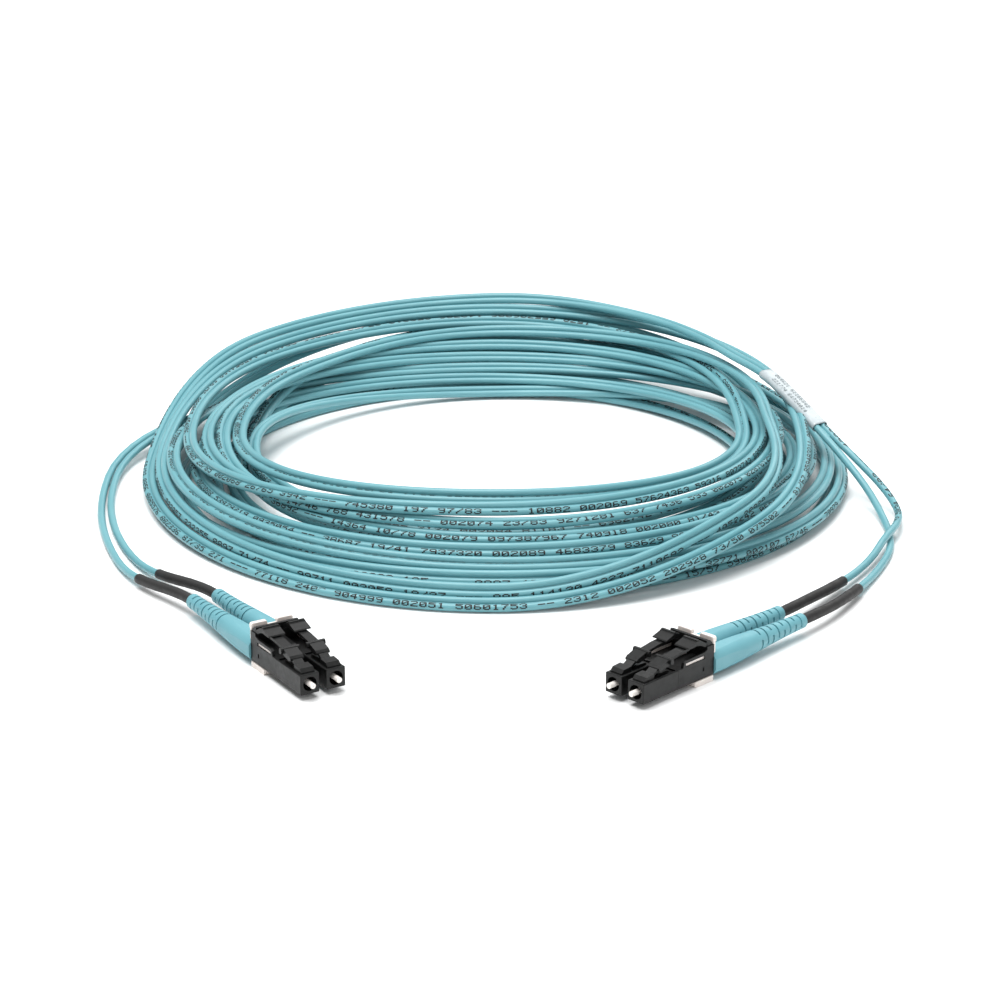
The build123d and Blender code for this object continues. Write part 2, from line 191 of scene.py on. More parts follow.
# past the last planned side the cord runs to the label, straight, and off down its tail
labelRun = [
    (119.0, 83.7, 20.1), (135.0, 77.0, 20.2), (152.0, 72.2, 20.3),
    (163.5, 72.8, 20.2), (170.0, 74.6, 18.6), (176.0, 77.2, 16.6),
]


def polar(point):
    # radius and height in mm, and the angle round the coil in degrees, of a point in metres
    dx = point[0] / mm - coilSettings["centre"][0]
    dy = point[1] / mm - coilSettings["centre"][1]
    return math.hypot(dx, dy), point[2] / mm, math.degrees(math.atan2(dy, -dx))


def smoothThrough(angles, values, at):
    # a smooth curve through the keys, without overshoot
    angles, values = np.array(angles, float), np.array(values, float)
    step = np.diff(angles)
    slope = np.diff(values) / step
    tangent = np.zeros(len(values))
    tangent[0], tangent[-1] = slope[0], slope[-1]
    for i in range(1, len(values) - 1):
        if slope[i - 1] * slope[i] > 0:
            tangent[i] = 2 * slope[i - 1] * slope[i] / (slope[i - 1] + slope[i])
    i = np.clip(np.searchsorted(angles, at) - 1, 0, len(step) - 1)
    t = (at - angles[i]) / step[i]
    return (
        (2 * t**3 - 3 * t**2 + 1) * values[i] + (t**3 - 2 * t**2 + t) * step[i] * tangent[i]
        + (3 * t**2 - 2 * t**3) * values[i + 1] + (t**3 - t**2) * step[i] * tangent[i + 1]
    )


def planKeys(settings, plan):
    # where the middle of the twin cord is steered, and how its flat leans
    rng = np.random.default_rng(settings["seed"])
    lastTurn = 360.0 * (len(plan) - 1)
    keys = [(settings["firstAngle"], *settings["firstPlace"])]
    leans = [(settings["firstAngle"], 0.0)]
    for turn, places in enumerate(plan):
        for side, angle in sideAngles.items():
            at = 360.0 * turn + angle
            if side in places:
                keys.append((at, *places[side]))
                leans.append((at, lean[side] + rng.normal(0, settings["leanSpread"])))
    keys += [(lastTurn + angle, radius, height) for angle, radius, height in labelRun]
    leans += [(lastTurn + angle, 0.0) for angle, radius, height in labelRun]
    return np.array(keys), np.array(leans)


def tailRows(end, angles, reverse=False):
    # the tail's legs where they pass beside the coil, as radius and height at these angles
    rows = []
    for channel in channels:
        places = [polar(p) for p in legRoutes[end + channel]]
        r, z, a = np.array(places[::-1] if reverse else places).T
        a = np.where(a < -90, a + 360, a)
        rows.append(np.stack([np.interp(angles, a, r), np.interp(angles, a, z)], axis=1))
    return np.stack(rows)


def stationTable(allAngles, settings):
    # which stations lie at the same angle round the coil, turn upon turn, for both legs
    atAngle = np.round(allAngles / (360.0 / settings["stations"])).astype(int) % settings["stations"]
    table = -np.ones((settings["stations"], max(np.bincount(atAngle))), int)
    filled = np.zeros(settings["stations"], int)
    for station, k in enumerate(atAngle):
        table[k, filled[k]] = station
        filled[k] += 1
    index = np.concatenate([table, table], axis=1)
    leg = np.concatenate([np.zeros_like(table), np.ones_like(table)], axis=1)
    return index, leg


def windCoil(settings, plan):
    step = 360.0 / settings["stations"]
    lastTurn = 360.0 * (len(plan) - 1)
    keys, leans = planKeys(settings, plan)
    before = np.arange(settings["tailA"], settings["firstAngle"] - step / 2, step)
    angles = np.arange(settings["firstAngle"], lastTurn + settings["lastAngle"], step)
    after = np.arange(*settings["tailB"], step)
    radius = smoothThrough(keys[:, 0], keys[:, 1], angles)
    height = smoothThrough(keys[:, 0], keys[:, 2], angles)
    tilt = np.radians(smoothThrough(leans[:, 0], leans[:, 1], angles))
    half = settings["legSpacing"] / 2
    legs = np.stack([
        np.stack([radius + half * side * np.cos(tilt), height + half * side * np.sin(tilt)], axis=1)
        for side in (1, -1)
    ])
    p = np.concatenate([tailRows("a", before), legs, tailRows("b", after, True)], axis=1)
    allAngles = np.concatenate([before, angles, lastTurn + after])
    first, last = len(before), len(before) + len(angles)
    held = np.ones(len(allAngles), bool)
    held[first + 1:last - 3] = False    # the tails and the label hold the two ends still
    home = p.copy()
    index, leg = stationTable(allAngles, settings)
    empty = index < 0
    farOff = 1000.0 * (1 + np.arange(index.shape[1]))[None, :, None]     # mm, where no station is

    for count in range(settings["rounds"]):
        progress = count / settings["rounds"]
        easeAfter, eased = settings["ease"]
        steer = 1.0 if progress < easeAfter else eased if progress < settings["free"] else 0.0
        p += (home - p).mean(0)[None] * settings["steer"] * steer
        # a fibre cord is stiff, so a push on it spreads along it
        for reach, strength in settings["stiffness"]:
            moved = p - home
            between = (moved[:, :-2 * reach] + moved[:, 2 * reach:]) / 2
            bend = np.zeros_like(p)
            bend[:, reach:-reach] = between - moved[:, reach:-reach]
            p += bend * strength
        for push in range(settings["pushes"]):
            across = p[0] - p[1]
            size = np.maximum(np.linalg.norm(across, axis=1, keepdims=True), 1e-6)
            fix = across * (settings["legSpacing"] / size - 1) * settings["twinPull"]
            p[0] += fix
            p[1] -= fix
            q = np.where(empty[:, :, None], farOff, p[leg, np.maximum(index, 0)])
            gap = q[:, :, None] - q[:, None]
            apart = np.linalg.norm(gap, axis=3)
            np.einsum("kii->ki", apart)[...] = 1e9      # no station pushes on itself
            short = np.maximum(settings["clearance"] - apart, 0) / 2
            move = (gap / np.maximum(apart, 1e-6)[..., None] * short[..., None]).sum(2)
            total = np.zeros_like(p)
            np.add.at(total, (leg[~empty], index[~empty]), move[~empty])
            p += total * settings["pushShare"]
            p[:, :, 1] = np.clip(p[:, :, 1], settings["legRadius"] + 0.01, settings["top"])
            p[:, held] = home[:, held]

    around = np.radians(allAngles[first:last])
    centreX, centreY = settings["centre"]
    return [
        np.stack([
            centreX - p[k, first:last, 0] * np.cos(around),
            centreY + p[k, first:last, 0] * np.sin(around),
            p[k, first:last, 1],
        ], axis=1) * mm
        for k in (0, 1)
    ]


coilLegs = windCoil(coilSettings, turnPlan)
print("coil wound:", len(turnPlan), "turns,", len(coilLegs[0]), "stations")


# curves and tubes
def nurbs(name, points, bevel=0.0, sides=4, resolution=3):
    data = bpy.data.curves.new(name, "CURVE")
    data.dimensions = "3D"
    data.resolution_u = resolution
    data.bevel_depth = bevel
    data.bevel_resolution = sides
    data.use_fill_caps = True
    spline = data.splines.new("NURBS")
    spline.points.add(len(points) - 1)
    for point, place in zip(spline.points, points):
        point.co = (*place, 1.0)
    spline.order_u = 3
    spline.use_endpoint_u = True
    return bpy.data.objects.new(name, data)


def lineOf(obj):
    # the curve's own line, without its thickness
    bare = bpy.data.objects.new("bareLine", obj.data.copy())
    bare.data.bevel_depth = 0.0
    mesh = bpy.data.meshes.new_from_object(bare)
    line = np.array([v.co for v in mesh.vertices], float)
    bpy.data.meshes.remove(mesh)
    bpy.data.curves.remove(bare.data)
    return line


def unit(v):
    return v / np.maximum(np.linalg.norm(v, axis=-1, keepdims=True), 1e-12)


def lengthsAlong(line):
    return np.concatenate([[0.0], np.cumsum(np.linalg.norm(np.diff(line, axis=0), axis=1))])


def atLengths(line, along, where):
    return np.stack([np.interp(where, along, line[:, k]) for k in range(3)], axis=1)


def tangents(line):
    return unit(np.gradient(line, axis=0))


def meshPiece(name, vertices, faces, material, smooth=True):
    data = bpy.data.meshes.new(name)
    data.from_pydata([tuple(v) for v in vertices], [], faces)
    data.materials.append(material)
    if smooth:
        data.polygons.foreach_set("use_smooth", [True] * len(data.polygons))
    data.update()
    return link(bpy.data.objects.new(name, data))


def ringFaces(rings, sides):
    # the faces between rings of vertices that follow one another
    faces = []
    for i in range(rings - 1):
        for j in range(sides):
            k = (j + 1) % sides
            faces.append((i * sides + j, i * sides + k, (i + 1) * sides + k, (i + 1) * sides + j))
    return faces


def addNode(tree, kind, settings=None, links=None):
    # one node, its socket values or properties, and {input: (node, output)}
    node = tree.nodes.new(kind)
    for name, value in (settings or {}).items():
        if name in node.inputs:
            node.inputs[name].default_value = value
        else:
            setattr(node, name, value)
    for name, (source, output) in (links or {}).items():
        tree.links.new(source.outputs[output], node.inputs[name])
    return node


def mottled(name, look):
    # a made surface, plastic, ceramic or metal: mottled colour, uneven gloss, and a fine grain
    material = bpy.data.materials.new(name)
    material.use_nodes = True
    tree = material.node_tree
    shader = tree.nodes["Principled BSDF"]
    shader.inputs["IOR"].default_value = look.get("ior", 1.5)
    shader.inputs["Metallic"].default_value = look.get("metallic", 0.0)
    shader.inputs["Specular IOR Level"].default_value = look.get("specular", 0.5)
    shader.inputs["Coat Weight"].default_value = look.get("coat", 0.0)
    shader.inputs["Coat Roughness"].default_value = 0.2
    shader.inputs["Subsurface Weight"].default_value = look.get("subsurface", 0.0)
    shader.inputs["Subsurface Radius"].default_value = (0.002, 0.002, 0.002)
    shader.inputs["Subsurface Scale"].default_value = 0.3
    place = addNode(tree, "ShaderNodeTexCoord")
    patches = addNode(tree, "ShaderNodeTexNoise", {"Scale": 1000.0 / look["patchMm"], "Detail": 2.0},
                      {"Vector": (place, "Object")})
    colour = addNode(tree, "ShaderNodeValToRGB", links={"Fac": (patches, "Fac")})
    colour.color_ramp.elements[0].position = 0.3
    colour.color_ramp.elements[0].color = linear(look["dark"])
    colour.color_ramp.elements[1].position = 0.7
    colour.color_ramp.elements[1].color = linear(look["light"])
    tree.links.new(colour.outputs["Color"], shader.inputs["Base Color"])
    smear = addNode(tree, "ShaderNodeTexNoise", {"Scale": 1000.0 / look["smearMm"], "Detail": 3.0},
                    {"Vector": (place, "Object")})
    gloss = addNode(tree, "ShaderNodeMapRange", {
        "From Min": 0.3, "From Max": 0.7,
        "To Min": look["roughness"] - look["smear"], "To Max": look["roughness"] + look["smear"],
    }, {"Value": (smear, "Fac")})
    tree.links.new(gloss.outputs["Result"], shader.inputs["Roughness"])
    grain = addNode(tree, "ShaderNodeTexNoise", {"Scale": 1000.0 / look["grainMm"], "Detail": 4.0},
                    {"Vector": (place, "Object")})
    bump = addNode(tree, "ShaderNodeBump", {"Strength": look["grain"], "Distance": look["depthMm"] * mm},
                   {"Height": (grain, "Fac")})
    tree.links.new(bump.outputs["Normal"], shader.inputs["Normal"])
    return material


# extruded PVC, die drawn: a soft sheen with slow waves in it
jacketPvc = mottled("jacketPvcExtruded", {
    "light": "#6CA5AD", "dark": "#619BA4", "roughness": 0.38, "smear": 0.06, "patchMm": 22.0,
    "smearMm": 6.0, "grainMm": 1.1, "grain": 0.12, "depthMm": 0.04, "subsurface": 0.06,
})
# thermoplastic elastomer, moulded: matt and a little chalky, so highlights spread wide
bootRubber = mottled("bootElastomerMoulded", {
    "light": "#6BA5AF", "dark": "#629CA7", "roughness": 0.48, "smear": 0.05, "patchMm": 7.0,
    "smearMm": 2.5, "grainMm": 0.35, "grain": 0.2, "depthMm": 0.03, "subsurface": 0.08,
})
# glass filled nylon from a spark eroded mould: deep black with a fine even sparkle
plugNylon = mottled("plugNylonMoulded", {
    "light": "#101111", "dark": "#0A0B0B", "roughness": 0.4, "smear": 0.07, "patchMm": 3.0,
    "smearMm": 1.2, "grainMm": 0.18, "grain": 0.25, "depthMm": 0.02, "specular": 0.32,
})
# the same nylon from a coarser mould: a shade greyer, with duller highlights
clipNylon = mottled("clipNylonMoulded", {
    "light": "#121313", "dark": "#0C0D0D", "roughness": 0.44, "smear": 0.07, "patchMm": 4.0,
    "smearMm": 1.5, "grainMm": 0.22, "grain": 0.25, "depthMm": 0.02, "specular": 0.32,
})
# natural acetal, moulded: milky white, light goes into it
clipAcetal = mottled("clipAcetalMoulded", {
    "light": "#F0E8E2", "dark": "#E6DCD6", "roughness": 0.4, "smear": 0.05, "patchMm": 4.0,
    "smearMm": 1.5, "grainMm": 0.3, "grain": 0.1, "depthMm": 0.02, "subsurface": 0.2,
})
# zirconia, ground and polished: dense off-white with a hard small highlight
ferruleZirconia = mottled("ferruleZirconiaPolished", {
    "light": "#F6F1EC", "dark": "#EFE8E2", "roughness": 0.16, "smear": 0.03, "patchMm": 2.0,
    "smearMm": 0.8, "grainMm": 0.2, "grain": 0.03, "depthMm": 0.01, "ior": 2.1, "subsurface": 0.1,
})
# brass, turned and nickel plated: a warm grey metal
platedNickel = mottled("brassNickelPlated", {
    "light": "#CFCBC2", "dark": "#BDB9B0", "roughness": 0.28, "smear": 0.06, "patchMm": 3.0,
    "smearMm": 1.0, "grainMm": 0.2, "grain": 0.1, "depthMm": 0.01, "metallic": 1.0,
})
# stainless wire, cold drawn: bright, with a thin highlight along the wire
springWire = mottled("springSteelDrawn", {
    "light": "#C4C6C8", "dark": "#B2B4B6", "roughness": 0.25, "smear": 0.05, "patchMm": 2.0,
    "smearMm": 0.8, "grainMm": 0.15, "grain": 0.1, "depthMm": 0.01, "metallic": 1.0,
})
# acrylate coated fibre in its buffer: smooth and pale
fibreBuffer = mottled("fibreAcrylateCoated", {
    "light": "#DDE4E2", "dark": "#D2DAD8", "roughness": 0.3, "smear": 0.03, "patchMm": 5.0,
    "smearMm": 2.0, "grainMm": 0.3, "grain": 0.05, "depthMm": 0.01,
})
# heat shrink polyolefin, shrunk by hand: dull charcoal with faint ripples
shrinkTube = mottled("tubePolyolefinShrunk", {
    "light": "#232222", "dark": "#1A1A1A", "roughness": 0.6, "smear": 0.08, "patchMm": 6.0,
    "smearMm": 2.0, "grainMm": 0.9, "grain": 0.35, "depthMm": 0.05,
})
# clear-over-white vinyl sleeve, printed: slightly grey, a wet looking gloss
labelVinyl = mottled("labelVinylPrinted", {
    "light": "#B9C2C5", "dark": "#A9B3B7", "roughness": 0.3, "smear": 0.08, "patchMm": 5.0,
    "smearMm": 2.0, "grainMm": 1.5, "grain": 0.3, "depthMm": 0.05, "subsurface": 0.1, "coat": 0.3,
})
# solvent ink from a jet printer: dead black dots, a little starved
printInk = mottled("inkJetBlack", {
    "light": "#0C1517", "dark": "#060C0E", "roughness": 0.6, "smear": 0.05, "patchMm": 3.0,
    "smearMm": 1.0, "grainMm": 0.2, "grain": 0.05, "depthMm": 0.01,
})
# wax ink from a thermal printer, part hidden by the sleeve's sheen: a soft mid grey that is partly the
# ink's own tone and partly painted sheen
labelInkAndPaintedSheen = mottled("inkThermalGreyAndPaintedSheen", {
    "light": "#5E6A6E", "dark": "#465256", "roughness": 0.5, "smear": 0.05, "patchMm": 3.0,
    "smearMm": 1.0, "grainMm": 0.2, "grain": 0.05, "depthMm": 0.01,
})

finishes = {
    "plug_housing": plugNylon, "latch_lever": plugNylon, "trigger": clipNylon,
    "duplex_clip": clipNylon, "polarity_clip": clipAcetal, "ferrule_flange": platedNickel,
    "ferrule": ferruleZirconia, "crimp_body": platedNickel, "crimp_sleeve": platedNickel,
    "buffered_fibre": fibreBuffer, "boot": bootRubber,
}
for name, obj in nodes.items():
    for prefix in sorted(finishes, key=len, reverse=True):
        if name.startswith(prefix):
            obj.data.materials.clear()
            obj.data.materials.append(finishes[prefix])
            break
print("materials made:", len(bpy.data.materials))


# the two legs of the cord, one open NURBS spline each
cordSettings = {
    "legRadius": 0.9,       # mm
    "length": 7.0,          # metres, of each leg
    "webThickness": 0.5,    # mm, the skin that joins the legs
    "webInset": 0.45,       # mm, from a leg's middle to where the skin starts
    "webReach": 2.3,        # mm, legs further apart than this are torn apart
    "webShortest": 8,       # stations, a shorter run of skin is left out
}


def legControl(channel):
    head = legPoints("a", channel)
    tail = legPoints("b", channel)[::-1]
    return head + [tuple(p) for p in coilLegs[int(channel) - 1][1:]] + tail


legs, legLines = {}, {}
for channel in channels:
    leg = link(nurbs("cordLeg" + channel, legControl(channel), cordSettings["legRadius"] * mm))
    leg.data.materials.append(jacketPvc)
    legs[channel] = leg
    legLines[channel] = lineOf(leg)
print("legs laid:", [round(float(lengthsAlong(line)[-1]), 3) for line in legLines.values()], "m")


# frame along the cord: forward, across to the other leg, and out of the flat of the cord
lineOne, lineTwo = legLines["1"], legLines["2"]
forward = tangents(lineOne)
toOther = lineTwo - lineOne
legGap = np.linalg.norm(toOther, axis=1)
across = unit(toOther - (toOther * forward).sum(1, keepdims=True) * forward)
outward = unit(np.cross(across, forward))
alongOne = lengthsAlong(lineOne)


def makeWeb(settings):
    joined = np.flatnonzero(legGap < settings["webReach"] * mm)
    runs = np.split(joined, np.flatnonzero(np.diff(joined) > 1) + 1)
    vertices, faces = [], []
    lift = outward * settings["webThickness"] / 2 * mm
    for run in runs:
        if len(run) < settings["webShortest"]:
            continue
        base = len(vertices)
        for i in run:
            inset = across[i] * settings["webInset"] * mm
            for place in (lineOne[i] + inset + lift[i], lineTwo[i] - inset + lift[i],
                          lineTwo[i] - inset - lift[i], lineOne[i] + inset - lift[i]):
                vertices.append(place)
        faces += [tuple(base + k for k in face) for face in ringFaces(len(run), 4)]
        faces += [(base + 3, base + 2, base + 1, base)]
        end = base + 4 * (len(run) - 1)
        faces += [(end, end + 1, end + 2, end + 3)]
    return meshPiece("cordWeb", vertices, faces, jacketPvc, smooth=False)


web = makeWeb(cordSettings)
print("web made:", len(web.data.polygons), "faces")


# black tubing over the legs where they leave the boots
tubingSettings = {
    "radius": 1.2, "mouth": 0.96, "chamfer": 0.1, "step": 0.6,     # mm
    "ripple": 0.05, "rippleStations": 9,    # mm, and how many stations even it out
    "sides": 24, "seed": 11,
    "insideBoot": {"a": 12.8, "b": 12.8},   # mm from the leg's own start to the tubing's start
    "length": {"a1": 34.5, "a2": 35.0, "b1": 40.3, "b2": 40.1},
}


def makeTubing(end, channel, settings):
    line = legLines[channel] if end == "a" else legLines[channel][::-1]
    along = lengthsAlong(line)
    start = settings["insideBoot"][end] * mm
    long = settings["length"][end + channel] * mm
    where = np.arange(start, start + long, settings["step"] * mm)
    centre = atLengths(line, along, where)
    ahead = tangents(centre)
    side = unit(np.cross(ahead, (0.0, 0.0, 1.0)))
    up = np.cross(side, ahead)
    rng = np.random.default_rng(settings["seed"] + 3 * ord(end) + int(channel))
    window = settings["rippleStations"]
    waves = rng.normal(0, settings["ripple"], len(where) + window - 1)
    radii = settings["radius"] + np.convolve(waves, np.ones(window) / window, "valid")
    sides, last = settings["sides"], len(where) - 1
    rim = settings["radius"] - settings["chamfer"]
    # station and radius of each ring, from the front mouth to the rear one
    profile = [(0, settings["mouth"]), (0, rim), (1, radii[0])]
    profile += [(i, radii[i]) for i in range(1, len(where))]
    profile += [(last, rim), (last, settings["mouth"])]
    vertices = []
    for i, r in profile:
        for j in range(sides):
            angle = 2 * math.pi * j / sides
            vertices.append(centre[i] + (side[i] * math.cos(angle) + up[i] * math.sin(angle)) * r * mm)
    piece = meshPiece("tubing_" + end + channel + "_sleeve", vertices,
                      ringFaces(len(profile), sides), shrinkTube)
    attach(piece, rootBody)
    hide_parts("tubing_" + end + channel)
    return piece


tubings = {
    end + channel: makeTubing(end, channel, tubingSettings) for end in ends for channel in channels
}
print("tubing made:", len(tubings))


# the springs behind the ferrules, built at rest; the real ones shorten as a ferrule is pushed in
springSettings = {
    "front": -5.45, "rear": -12.2,      # mm, behind the plug's front face
    "radius": 1.12, "wire": 0.14, "turns": 7,
    "closedPitch": 0.32,    # mm, of the first and the last turn
    "stroke": 0.8,          # mm, the ferrule's travel
    "steps": 36, "sides": 8,    # per turn, round the wire
}


def makeSpring(end, channel, settings):
    low, high = settings["rear"] + settings["wire"], settings["front"] - settings["wire"]
    count = settings["turns"] * settings["steps"] + 1
    turn = np.linspace(0, settings["turns"], count)
    keyTurns = [0, 1, settings["turns"] - 1, settings["turns"]]
    keyPlaces = [low, low + settings["closedPitch"], high - settings["closedPitch"], high]
    x = np.interp(turn, keyTurns, keyPlaces)
    angle = 2 * math.pi * turn
    line = np.stack([x, settings["radius"] * np.cos(angle), settings["radius"] * np.sin(angle)], axis=1)
    radial = np.stack([0 * x, np.cos(angle), np.sin(angle)], axis=1)
    side = np.cross(tangents(line), radial)
    vertices = []
    for i in range(count):
        for j in range(settings["sides"]):
            bearing = 2 * math.pi * j / settings["sides"]
            offset = radial[i] * math.cos(bearing) + side[i] * math.sin(bearing)
            x, y, z = line[i] + offset * settings["wire"]
            vertices.append(endPoint(end, x * mm, channels[channel] + y * mm, axisHeight + z * mm))
    faces = ringFaces(count, settings["sides"])
    faces.append(tuple(range(settings["sides"]))[::-1])
    faces.append(tuple(len(vertices) - settings["sides"] + j for j in range(settings["sides"])))
    name = end + channel
    piece = meshPiece("ferruleSpring_" + name, vertices, faces, springWire)
    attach(piece, rootBody)
    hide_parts("ferrule_spring_" + name)
    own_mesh(piece)


for end in ends:
    for channel in channels:
        makeSpring(end, channel, springSettings)
print("springs made")


# label sleeve round both legs
labelSettings = {
    "from": (70.0, 139.8, 20.5), "to": (81.6, 114.9, 14.2),     # mm, as the CAD sleeve
    "thickness": 0.18, "room": 0.12, "step": 0.5,
    "wrinkle": 0.09, "wrinkleStations": 11,     # mm, and how many stations even it out
    "creases": 3, "creaseDepth": 0.6,   # round the sleeve, and as a share of the wrinkle there
    "creaseTwist": 0.35,    # radians, from station to station
    "gather": 3.0,          # higher puts more of the sides over the legs, and fewer between them
    "sides": 40, "seed": 5,
}


def makeLabel(settings):
    start, finish = (np.array(settings[k]) * mm for k in ("from", "to"))
    nearestStart = int(np.linalg.norm(lineOne - start, axis=1).argmin())
    nearestFinish = int(np.linalg.norm(lineOne - finish, axis=1).argmin())
    where = np.arange(alongOne[nearestStart], alongOne[nearestFinish], settings["step"] * mm)
    middle = atLengths((lineOne + lineTwo) / 2, alongOne, where)
    sideways = unit(atLengths(across, alongOne, where))
    normal = unit(atLengths(outward, alongOne, where))
    leg = cordSettings["legRadius"] + settings["room"]
    half = coilSettings["legSpacing"] / 2
    rng = np.random.default_rng(settings["seed"])
    window = settings["wrinkleStations"]
    waves = rng.normal(0, settings["wrinkle"], len(where) + window - 1)
    wrinkle = np.convolve(waves, np.ones(window) / window, "valid")

    def ring(i, grow):
        places = []
        for j in range(settings["sides"]):
            angle = 2 * math.pi * j / settings["sides"]
            x, y = math.cos(angle), math.sin(angle)
            reach = half * np.sign(x) * min(1.0, abs(x) * settings["gather"])
            crease = math.sin(settings["creases"] * angle + i * settings["creaseTwist"])
            thick = leg + grow + wrinkle[i] * (1 + settings["creaseDepth"] * crease)
            places.append(middle[i] + (sideways[i] * (reach + x * thick) + normal[i] * y * thick) * mm)
        return places

    vertices = ring(0, 0.0)
    for i in range(len(where)):
        vertices += ring(i, settings["thickness"])
    vertices += ring(len(where) - 1, 0.0)
    piece = meshPiece("labelSleeve", vertices, ringFaces(len(where) + 2, settings["sides"]), labelVinyl)
    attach(piece, rootBody)
    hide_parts("label_sleeve")
    return piece, where, middle, sideways, normal


label, labelAt, labelMiddle, labelSideways, labelNormal = makeLabel(labelSettings)
print("label sleeve made")


# printed marks: dot matrix digits and dashes, as an ink layer on the jacket
printSettings = {
    "pitch": 2.05, "width": 1.62, "height": 1.4,    # mm, of one character
    "stroke": 0.68,     # half a dot's height, in rows: over 0.5 the dots run together
    "lift": 0.012,      # mm above the jacket
    "overlap": 0.12,    # of a dot, so that dots in a row join up
    "start": 55.0, "unprinted": 120.0,      # mm, from end b, and of the whole cord
    "facing": (-12.0, -125.0),  # degrees, along the front of the ring, and what the back adds
    "underFrom": 0.35,      # share of the way from front to back where the print starts to roll under
    "turned": [0.0, 12.0, -18.0, 25.0, -150.0, -40.0, 150.0],   # degrees, one is drawn for each turn
    "tailTurns": 0.6,   # what the tails add to the coil's turns
    "seed": 19,
    "firstMark": 2046,
}
dotColumns, dotRows = 5, 7      # of one character
dotFont = {
    "0": "01110 10001 10011 10101 11001 10001 01110",
    "1": "00100 01100 00100 00100 00100 00100 01110",
    "2": "01110 10001 00001 00110 01000 10000 11111",
    "3": "01110 10001 00001 00110 00001 10001 01110",
    "4": "00010 00110 01010 10010 11111 00010 00010",
    "5": "11111 10000 11110 00001 00001 10001 01110",
    "6": "01110 10000 10000 11110 10001 10001 01110",
    "7": "11111 00001 00010 00100 00100 01000 01000",
    "8": "01110 10001 10001 01110 10001 10001 01110",
    "9": "01110 10001 10001 01111 00001 00001 01110",
    "-": "00000 00000 00000 11111 00000 00000 00000",
    "/": "00001 00001 00010 00100 01000 10000 10000",
}


def dotRuns(character):
    # (row, first column, columns) of each run of dots in a character
    runs = []
    for row, bits in enumerate(dotFont[character].split()):
        column = 0
        while column < dotColumns:
            if bits[column] == "1":
                end = column
                while end < dotColumns and bits[end] == "1":
                    end += 1
                runs.append((row, column, end - column))
                column = end
            column += 1
    return runs


def digits(rng, count):
    return "".join(str(d) for d in rng.integers(0, 10, count))


def markText(count, seed, firstMark):
    # groups of digits with a running length mark among them
    rng = np.random.default_rng(seed)
    text, mark = "", firstMark
    while len(text) < count:
        groups = ["%06d" % mark, digits(rng, int(rng.integers(4, 10)))]
        groups += [digits(rng, int(rng.integers(3, 8))) for _ in range(3)]
        groups += ["%d/%d" % (rng.integers(10, 99), rng.integers(10, 99)), "-" * int(rng.integers(2, 4))]
        rng.shuffle(groups)
        text += " ".join(groups) + " "
        mark += 1
    return text[:count]


def printAngle(s, turnOffsets, settings):
    # where round the leg the print faces, in radians: towards the eye along the front of the ring,
    # and rolled under along its back
    angle = polar(atLengths(lineOne, alongOne, np.array([s]))[0])[2]
    turn = s / alongOne[-1] * (len(turnPlan) + settings["tailTurns"])
    low = int(turn)
    blend = turn - low
    offset = turnOffsets[low] * (1 - blend) + turnOffsets[low + 1] * blend
    back = 0.5 + 0.5 * math.sin(math.radians(angle))
    facing, under = settings["facing"]
    share = max(0.0, back - settings["underFrom"]) / (1 - settings["underFrom"])
    return math.radians(facing + under * share + offset)


def inkQuads(text, settings, angleOf):
    # the marks start near end b and run back along the cord, each one a patch that follows the leg
    vertices, faces = [], []
    radius = (cordSettings["legRadius"] + settings["lift"]) * mm
    dot = settings["width"] / dotColumns * mm
    rowAngle = settings["height"] / dotRows / cordSettings["legRadius"]
    for count, character in enumerate(text):
        if character == " ":
            continue
        begin = settings["start"] * mm + count * settings["pitch"] * mm
        for row, column, wide in dotRuns(character):
            edges = np.array([column - settings["overlap"], column + wide + settings["overlap"]])
            where = alongOne[-1] - (begin + edges * dot)
            places = atLengths(lineOne, alongOne, where)
            out = unit(atLengths(outward, alongOne, where))
            over = unit(atLengths(across, alongOne, where))
            base = len(vertices)
            for k in (0, 1):
                face = angleOf(where[k])
                for edge in (settings["stroke"], -settings["stroke"]):
                    angle = face + (dotRows // 2 - row + edge) * rowAngle
                    radial = out[k] * math.cos(angle) + over[k] * math.sin(angle)
                    vertices.append(places[k] + radial * radius)
            faces.append((base, base + 1, base + 3, base + 2))
    return vertices, faces


def makePrint(settings):
    rng = np.random.default_rng(settings["seed"])
    turnOffsets = rng.choice(settings["turned"], len(turnPlan) + 3)    # with some to spare for the tails
    length = alongOne[-1] / mm - settings["unprinted"]
    text = markText(int(length / settings["pitch"]), settings["seed"], settings["firstMark"])
    vertices, faces = inkQuads(text, settings, lambda s: printAngle(s, turnOffsets, settings))
    piece = meshPiece("cordPrint", vertices, faces, printInk, smooth=False)
    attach(piece, rootBody)
    return piece


cordPrint = makePrint(printSettings)
print("print made:", len(cordPrint.data.polygons), "marks")


labelPrintSettings = {
    "pitch": 1.15, "dot": 0.16, "row": 0.15,    # mm, from character to character, dot and row
    "stroke": 0.45,     # half a dot's height, in rows
    "lift": 0.05,       # mm above the sleeve
    "margin": 1.0,      # mm, left clear at the sleeve's end
    "lanes": ((0.75, 4.0), (-0.95, 5.5)),   # mm, each row's place across the sleeve, and its start
    "groups": (6, 8),   # figures
    "seed": 23,
}


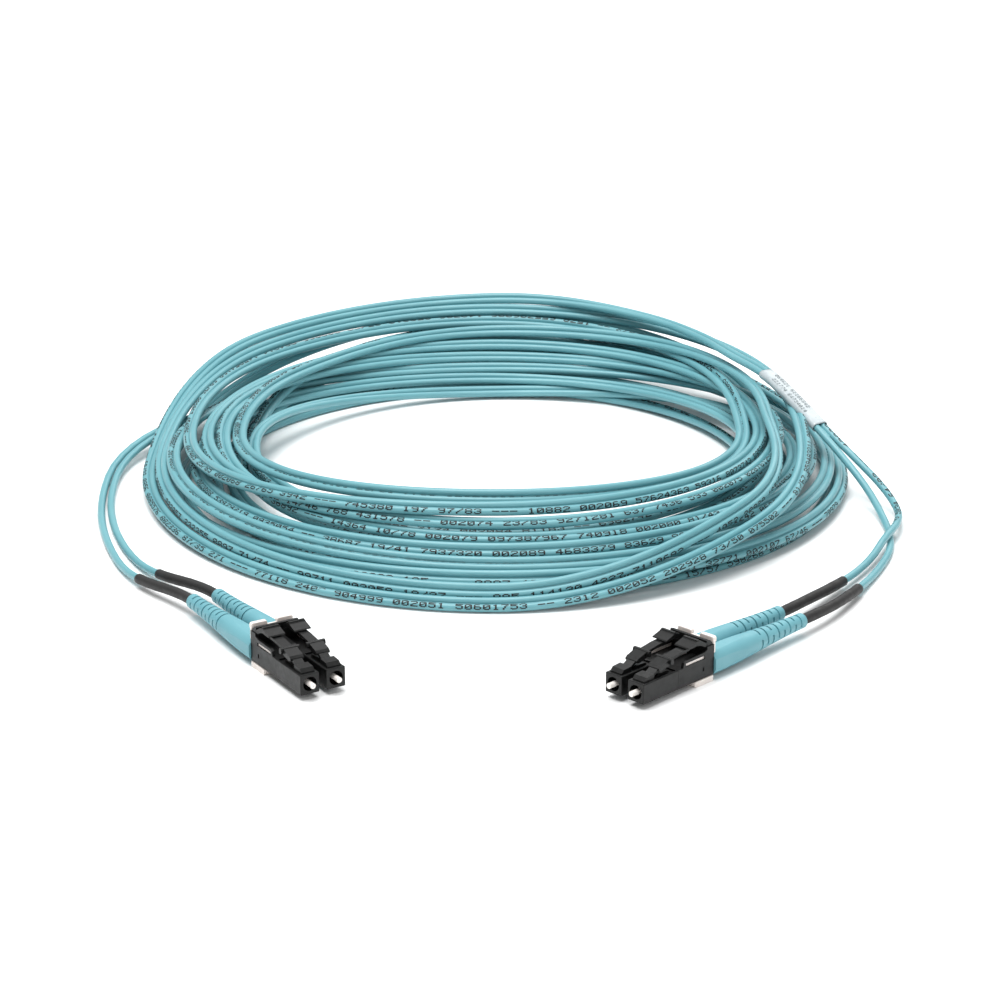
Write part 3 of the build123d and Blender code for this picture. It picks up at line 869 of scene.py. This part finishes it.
def makeLabelPrint(settings):
    # two short rows of small figures on the sleeve's upper side
    rng = np.random.default_rng(settings["seed"])
    vertices, faces = [], []
    sleeve = cordSettings["legRadius"] + labelSettings["room"] + labelSettings["thickness"]
    height = sleeve + settings["lift"]
    along = labelAt - labelAt[0]
    for lane, start in settings["lanes"]:
        text = " ".join(digits(rng, count) for count in settings["groups"])
        for count, character in enumerate(text):
            if character == " ":
                continue
            for row, column, wide in dotRuns(character):
                begin = start + count * settings["pitch"] + column * settings["dot"]
                where = np.array([begin, begin + wide * settings["dot"]]) * mm
                if where[1] > along[-1] - settings["margin"] * mm:
                    continue
                centre, side, up = (
                    atLengths(rows, along, where) for rows in (labelMiddle, labelSideways, labelNormal)
                )
                base = len(vertices)
                for k in (0, 1):
                    for edge in (settings["stroke"], -settings["stroke"]):
                        aside = lane + (dotRows // 2 - row + edge) * settings["row"]
                        vertices.append(centre[k] + (side[k] * -aside + up[k] * height) * mm)
                faces.append((base, base + 1, base + 3, base + 2))
    # the ink's soft grey holds painted sheen of the sleeve over the print
    piece = meshPiece("labelPrint", vertices, faces, labelInkAndPaintedSheen, smooth=False)
    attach(piece, rootBody)
    return piece


labelPrint = makeLabelPrint(labelPrintSettings)
print("label print made:", len(labelPrint.data.polygons), "marks")

for channel, leg in legs.items():
    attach(leg, rootBody)
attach(web, rootBody)
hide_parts("coil", "cable_leg_a1", "cable_leg_b1")
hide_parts("cable_leg_a2", "cable_leg_b2")

# the floor and the lights
studioSettings = {
    "floor": "#F4F5F5", "floorSize": 8.0, "floorRoughness": 0.9, "floorSpecular": 0.1,
    "world": 0.42, "sky": "#FFFFFF",
    "aim": (0.0, 0.1, 0.0),     # where the lights point
    "top": {"power": 37.0, "size": 1.3, "at": (-0.25, 0.1, 1.6)},
    "front": {"power": 4.0, "size": 0.8, "at": (0.7, -1.1, 0.9)},
    "back": {"power": 6.0, "size": 1.0, "at": (0.5, 1.3, 1.0)},
}


def makeFloor(settings):
    half = settings["floorSize"] / 2
    corners = [(-half, -half, 0), (half, -half, 0), (half, half, 0), (-half, half, 0)]
    # seamless paper, uncoated: matt and nearly white, so it shows only soft shadows
    material = bpy.data.materials.new("floorPaperPale")
    material.use_nodes = True
    shader = material.node_tree.nodes["Principled BSDF"]
    shader.inputs["Base Color"].default_value = linear(settings["floor"])
    shader.inputs["Roughness"].default_value = settings["floorRoughness"]
    shader.inputs["Specular IOR Level"].default_value = settings["floorSpecular"]
    floor = meshPiece("studioFloor", corners, [(0, 1, 2, 3)], material, smooth=False)


def makeLight(name, look):
    data = bpy.data.lights.new(name, "AREA")
    data.energy = look["power"]
    data.size = look["size"]
    light = link(bpy.data.objects.new(name, data))
    light.location = look["at"]
    aim = Vector(studioSettings["aim"]) - light.location
    light.rotation_euler = aim.to_track_quat("-Z", "Y").to_euler()


makeFloor(studioSettings)
for name in ("top", "front", "back"):
    makeLight(name + "Light", studioSettings[name])
world = bpy.data.worlds.new("studioWorld")
bpy.context.scene.world = world
world.use_nodes = True
world.node_tree.nodes["Background"].inputs["Color"].default_value = linear(studioSettings["sky"])
world.node_tree.nodes["Background"].inputs["Strength"].default_value = studioSettings["world"]
bpy.context.scene.view_settings.view_transform = "Standard"
print("studio lit")
